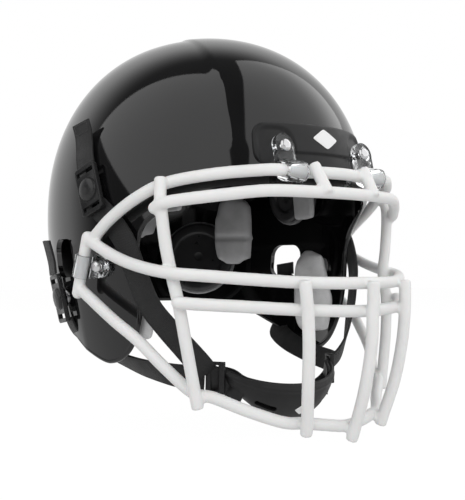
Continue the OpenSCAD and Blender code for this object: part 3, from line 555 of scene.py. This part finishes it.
# ------------------------------------------------------------------ clips, screws, snaps, buckles: CAD shapes with softened edges
body_of = {n: b for b, ns in frame["record"]["behaviour"]["bodies"].items() for n in ns}
def soften(n, name, width, seg=3, angle=40):
    src = frame["nodes"][n]
    me = src.data.copy(); me.name = name
    o = bpy.data.objects.new(name, me); bpy.context.scene.collection.objects.link(o)
    bm = bmesh.new(); bm.from_mesh(me)
    bmesh.ops.remove_doubles(bm, verts=bm.verts, dist=1e-6)
    bmesh.ops.dissolve_limit(bm, angle_limit=math.radians(0.5), verts=bm.verts, edges=bm.edges)
    bmesh.ops.recalc_face_normals(bm, faces=bm.faces); bm.to_mesh(me); bm.free()
    md = o.modifiers.new("b", "BEVEL"); md.width = width; md.segments = seg; md.limit_method = "ANGLE"
    md.angle_limit = math.radians(angle); md.use_clamp_overlap = True; md.harden_normals = False
    bpy.context.view_layer.update(); apply_mods(o); resharp(o, 42)
    o.data.materials.clear(); o.data.materials.append(M[slot_of[n]])
    done(o, body_of[n], slot_of[n], n)
    return o
for n in list(frame["nodes"]):
    if "clip" in n: soften(n, n.replace("clip", "loop_clip"), 0.0007)
    elif "buckle" in n: soften(n, n + "_moulding", 0.0005)
    elif "snap_" in n and n != "snap_studs": soften(n, n + "_cap", 0.0004)
    elif n in ("brow_screws", "side_screws"): soften(n, n + "_head", 0.00025, 2)

# ------------------------------------------------------------------ webbing
HEAD = Vector((0, 38, 45))
def ribbon(name, P, w=17, t=1.6, C=HEAD, body="helmet", nodes=(), bl=None, lvl=(0, 0), mat="webbing"):
    """flat woven strip along P; lvl stands its width upright as it goes from lvl[0] to lvl[1]"""
    P = [Vector(p) for p in P]; k = len(P)
    cs = [(-0.5, -0.22), (-0.488, -0.5), (-0.3, -0.5), (0, -0.5), (0.3, -0.5), (0.488, -0.5), (0.5, -0.22), (0.5, 0.22), (0.488, 0.5),
          (0.425, 0.36), (0.385, 0.5), (0, 0.5), (-0.385, 0.5), (-0.425, 0.36), (-0.488, 0.5), (-0.5, 0.22)]
    m = len(cs); V, uv, F, s_len = [], [], [], 0.0
    for i in range(k):
        f = i / (k - 1)
        g = (P[min(i + 1, k - 1)] - P[max(i - 1, 0)]).normalized(); o = P[i] - C
        o.z *= 1 - (lvl[0] + (lvl[1] - lvl[0]) * sm(0, 1, f))
        s = g.cross(o).normalized(); u = s.cross(g)
        ww = w(f) if callable(w) else w
        if i: s_len += (P[i] - P[i - 1]).length
        for a, b in cs:
            V.append(P[i] + s * (a * ww) + u * (b * t)); uv.append((s_len / 1000, a * ww / 1000 + (0.5 if b < 0 else 0)))
    for i in range(k - 1):
        for j in range(m):
            l = (j + 1) % m; F.append((i * m + j, i * m + l, (i + 1) * m + l, (i + 1) * m + j))
    F.append(tuple(range(m - 1, -1, -1))); F.append(tuple((k - 1) * m + j for j in range(m)))
    o = obj(name, V, F, mat, uv=uv, sharp=50)
    if bl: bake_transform(o)
    else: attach(o, body)
    if nodes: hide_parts(*nodes)
    return o
def stitches(name, P, n, body, rows=(-0.38, 0.38), w=17, t=1.6, C=HEAD, cross=2):
    """lock stitches lying on a strip, along both edges and across the ends"""
    P = [Vector(p) for p in P]; k = len(P); parts = []
    g = (P[-1] - P[0]).normalized()
    def at(f):
        x = f * (k - 1); i = min(int(x), k - 2); return P[i].lerp(P[i + 1], x - i)
    def fr(f):
        i = min(int(f * (k - 1)), k - 2); g = (P[i + 1] - P[i]).normalized()
        s = g.cross(at(f) - C).normalized(); return s, s.cross(g), g
    for r in rows:
        for q in range(n):
            f0, f1 = (q + 0.2) / n, (q + 0.8) / n; s, u, g = fr((f0 + f1) / 2)
            off = s * (r * w) + u * (t * 0.5 + 0.12)
            parts.append(tube([at(f0) + off - u * 0.25, at(f0 * 0.7 + f1 * 0.3) + off, at(f0 * 0.3 + f1 * 0.7) + off, at(f1) + off - u * 0.25], 0.28, n=6, ref=tuple(u), rings=2))
    for c in range(cross):
        f = c / max(1, cross - 1) * 0.94 + 0.03; s, u, g = fr(f)
        for q in range(6):
            a0, a1 = -0.36 + 0.12 * q + 0.02, -0.36 + 0.12 * q + 0.10
            b = at(f) + u * (t * 0.5 + 0.12)
            parts.append(tube([b + s * (a0 * w) - u * 0.2, b + s * ((a0 * 2 + a1) / 3 * w), b + s * ((a0 + a1 * 2) / 3 * w), b + s * (a1 * w) - u * 0.2], 0.28, n=6, ref=tuple(u), rings=2))
    o = obj(name, *merge(parts), "thread", body=None)
    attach(o, body); return o
for s, side in ((1, "right"), (-1, "left")):
    fx = (lambda P: P) if s == 1 else flip
    UR = smooth(fx(upper_route), 8); LR = smooth(fx(lower_route), 8)
    c1 = 20; a, b = UR[:c1 + 1], UR[c1:]
    ribbon(f"upper_webbing_{side}_top", a, nodes=(f"upper_strap_{side}",), bl=("helmet", f"upper_buckle_{side}", W(a[6]), W(a[0])))
    ribbon(f"upper_webbing_{side}_low", b, bl=("helmet", "chin_cup", W(b[4]), W(b[-6])), lvl=(0, 1))
    c2 = 18; a, b = LR[:c2 + 1], LR[c2:]
    ribbon(f"lower_webbing_{side}_top", a, nodes=(f"lower_strap_{side}",), bl=("helmet", f"lower_buckle_{side}", W(a[14]), W(a[1])))
    ribbon(f"lower_webbing_{side}_low", b, bl=("helmet", "chin_cup", W(b[4]), W(b[-6])), lvl=(0, 1))
    UT = smooth(fx(upper_tail), 8); LT = smooth(fx(lower_tail), 8) if s == 1 else smooth(lower_tail_short, 8)
    ribbon(f"upper_free_end_{side}", UT, body=f"upper_buckle_{side}", nodes=(f"upper_tail_{side}",))
    ribbon(f"lower_free_end_{side}", LT, body=f"lower_buckle_{side}", nodes=(f"lower_tail_{side}",))
    stitches(f"upper_end_stitches_{side}", UT[-9:-1], 5, f"upper_buckle_{side}")

# ------------------------------------------------------------------ chin cup
def cup(u, v, d):
    a, b = math.radians(78 * u), math.radians(82 * v); k = 1 - 0.55 * (1 - math.cos(b))
    top = -76 + 13 * u * u; deep = 29 - 8 * u * u
    return Vector(((54 - d) * k * math.sin(a), -44 - (36 - d) * k * math.cos(a), top - (deep - d) * math.sin(b)))
nu, nv = 96, 40
def lip(i, j):
    u, v = abs(2 * i / nu - 1), abs(2 * j / nv - 1)
    return max(0, (1 - u ** 40) * (1 - v ** 24)) ** 0.5
def rib(i, j):
    return 0.7 * (1 - sm(0.02, 0.05, abs(j / nv - 0.12))) + 0.5 * (1 - sm(0.02, 0.05, abs(j / nv - 0.9)))
V, F = grid_solid(lambda i, j: cup(2 * i / nu - 1, j / nv, 1.6 - 1.6 * lip(i, j) - rib(i, j)),
                  lambda i, j: cup(2 * i / nu - 1, j / nv, 1.9 + 1.6 * lip(i, j)), nu, nv)
cupo = obj("chin_cup_shell", V, F, "cup_black", sharp=60)
for s in (-1, 1):
    c0 = cup(s * 0.47, 0.50, 1.7); du = (cup(s * 0.50, 0.50, 1.7) - cup(s * 0.44, 0.50, 1.7)); dv = cup(s * 0.47, 0.55, 1.7) - cup(s * 0.47, 0.45, 1.7)
    n = du.cross(dv).normalized(); x = (du.normalized() + dv.normalized() * -0.10).normalized(); y = n.cross(x)
    m = Matrix((n, x, y)).transposed().to_4x4(); m.translation = c0
    V, F = prism_x(rounded(0, 0, 8.5, 1.9, 1.8), -7, 7)
    boolean(cupo, obj("c5", [m @ Vector(v) for v in V], F, "cup_black"))
resharp(cupo, 45); cupo.data.materials.clear(); cupo.data.materials.append(M["cup_black"])
done(cupo, "chin_cup", "cup_black", "chin_cup")
V, F = grid_solid(lambda i, j: cup(0.70 * (2 * i / 24 - 1), 0.12 + 0.82 * j / 10, 4.2), lambda i, j: cup(0.66 * (2 * i / 24 - 1), 0.15 + 0.76 * j / 10, 7.6), 24, 10)
cp = puff(obj("chin_cushion", V, F, "chin_pad_grey", sharp=180), voxel=3.2, cap=2.0)
cp.data.materials.clear(); cp.data.materials.append(M["chin_pad_grey"]); done(cp, "chin_cup", "chin_pad_grey", "chin_pad")
for s, side in ((1, "right"), (-1, "left")):
    fx = (lambda P: P) if s == 1 else flip
    wing = smooth(fx([tuple(cup(-0.72, 0.36, 1.8)), tuple(cup(-0.85, 0.37, 1.8)), tuple(cup(-0.96, 0.38, 1.7)), (-53.5, -48, -72.2), (-57, -45, -71.2), (-59.6, -42.6, -71)]), 8)
    ribbon(f"cup_wing_{side}", wing, w=lambda f: 19.5 - 3.2 * sm(0.5, 0.8, f), t=2.6, C=Vector((0, -35, -75)), body="chin_cup", lvl=(0.9, 1), mat="cup_black")
lozenge("cup_lozenge", lambda x, y, h: cup(x / 54 / 1.36, 0.50 + y / 40, -h), 7, 4.5, "chin_cup", 0.35)
soften("cup_loops", "cup_ladder_loops", 0.0008)

# ------------------------------------------------------------------ stage, light, camera
sc = bpy.context.scene
fm = bpy.data.materials.new("floor_white"); fm.use_nodes = True
nt = fm.node_tree; nt.nodes.clear()
out = nt.nodes.new("ShaderNodeOutputMaterial"); e = nt.nodes.new("ShaderNodeEmission"); e2 = nt.nodes.new("ShaderNodeEmission")
df = nt.nodes.new("ShaderNodeBsdfDiffuse"); mx = nt.nodes.new("ShaderNodeMixShader"); m2 = nt.nodes.new("ShaderNodeMixShader"); lp = nt.nodes.new("ShaderNodeLightPath")
e.inputs["Strength"].default_value = 1.02; e2.inputs["Strength"].default_value = 0.62; df.inputs["Color"].default_value = (0.85, 0.85, 0.85, 1); mx.inputs["Fac"].default_value = 0.965
nt.links.new(df.outputs[0], mx.inputs[1]); nt.links.new(e.outputs[0], mx.inputs[2])
nt.links.new(lp.outputs["Is Camera Ray"], m2.inputs["Fac"]); nt.links.new(e2.outputs[0], m2.inputs[1]); nt.links.new(mx.outputs[0], m2.inputs[2])
nt.links.new(m2.outputs[0], out.inputs["Surface"])
me = bpy.data.meshes.new("floor"); me.from_pydata([(-6, -6, -0.0005), (6, -6, -0.0005), (6, 6, -0.0005), (-6, 6, -0.0005)], [], [(0, 1, 2, 3)])
me.materials.append(fm); floor = bpy.data.objects.new("floor", me); sc.collection.objects.link(floor)
w = bpy.data.worlds.new("studio"); sc.world = w; w.use_nodes = True
nt = w.node_tree; nt.nodes.clear()
wo = nt.nodes.new("ShaderNodeOutputWorld"); b1 = nt.nodes.new("ShaderNodeBackground"); b2 = nt.nodes.new("ShaderNodeBackground")
lp = nt.nodes.new("ShaderNodeLightPath"); mx = nt.nodes.new("ShaderNodeMixShader")
b1.inputs["Color"].default_value = (1, 1, 1, 1); b1.inputs["Strength"].default_value = 1.0
tc = nt.nodes.new("ShaderNodeTexCoord"); dot = nt.nodes.new("ShaderNodeVectorMath"); dot.operation = "DOT_PRODUCT"
dot.inputs[1].default_value = (0.64, 0.77, -0.35)
mr = nt.nodes.new("ShaderNodeMapRange"); mr.interpolation_type = "SMOOTHSTEP"
mr.inputs["From Min"].default_value = -0.06; mr.inputs["From Max"].default_value = 0.46; mr.inputs["To Min"].default_value = 0.12; mr.inputs["To Max"].default_value = 1.0
nt.links.new(tc.outputs["Generated"], dot.inputs[0]); nt.links.new(dot.outputs["Value"], mr.inputs["Value"]); nt.links.new(mr.outputs["Result"], b2.inputs["Strength"])
nt.links.new(lp.outputs["Is Camera Ray"], mx.inputs["Fac"]); nt.links.new(b2.outputs[0], mx.inputs[1]); nt.links.new(b1.outputs[0], mx.inputs[2]); nt.links.new(mx.outputs[0], wo.inputs["Surface"])
def area(name, loc, target, sx, sy, power, spread=180):
    l = bpy.data.lights.new(name, "AREA"); l.shape = "RECTANGLE"; l.size = sx; l.size_y = sy; l.energy = power; l.spread = math.radians(spread)
    o = bpy.data.objects.new(name, l); sc.collection.objects.link(o); o.location = loc
    o.rotation_euler = (Vector(target) - Vector(loc)).to_track_quat("-Z", "Y").to_euler(); return o
def panel(name, c, dist, p0, p1, q0, q1, roll, lum, glossy=True):
    """soft box seen from the helmet between p0..p1 and q0..q1 on the plane one unit out along c"""
    c = Vector(c).normalized(); x = Vector((0, 0, 1)).cross(c).normalized(); y = c.cross(x)
    r = math.radians(roll); P = x * math.cos(r) + y * math.sin(r); Q = y * math.cos(r) - x * math.sin(r)
    l = bpy.data.lights.new(name, "AREA"); l.shape = "RECTANGLE"
    l.size, l.size_y = (p1 - p0) * dist, (q1 - q0) * dist; l.energy = lum * math.pi * l.size * l.size_y
    o = bpy.data.objects.new(name, l); sc.collection.objects.link(o)
    m = Matrix((P, Q, c)).transposed().to_4x4()
    m.translation = Vector((0, 0, 0.17)) + (c + P * (p0 + p1) / 2 + Q * (q0 + q1) / 2) * dist
    o.matrix_world = m
    if not glossy: o.visible_glossy = False
panel("softbox_left", (-0.766, 0.0, 0.643), 1.7, -0.66, 0.64, -0.95, 0.75, 45, 0.95)
panel("softbox_right", (0.35, -0.75, 0.55), 1.7, -0.85, 1.6, -1.0, 0.74, 45, 0.9)
panel("fill_front", (-0.60, -0.78, 0.15), 1.9, -0.7, 0.7, -0.35, 0.7, 0, 1.1, False)
panel("fill_back", (0.7, 0.6, 0.35), 1.9, -0.7, 0.7, -0.4, 0.6, 0, 0.8, False)
sc.view_settings.view_transform = "Standard"
cam = bpy.data.cameras.new("cam"); cam.sensor_width = 36; cam.lens = 69.34; cam.clip_start = 0.01
co = bpy.data.objects.new("cam", cam); sc.collection.objects.link(co)
hd, up = math.radians(40), math.radians(1.46)
co.location = (-0.474, -0.565 + BACK / 1000, LIFT / 1000)
d = Vector((math.sin(hd) * math.cos(up), math.cos(hd) * math.cos(up), math.sin(up)))
co.rotation_euler = d.to_track_quat("-Z", "Y").to_euler()
sc.camera = co
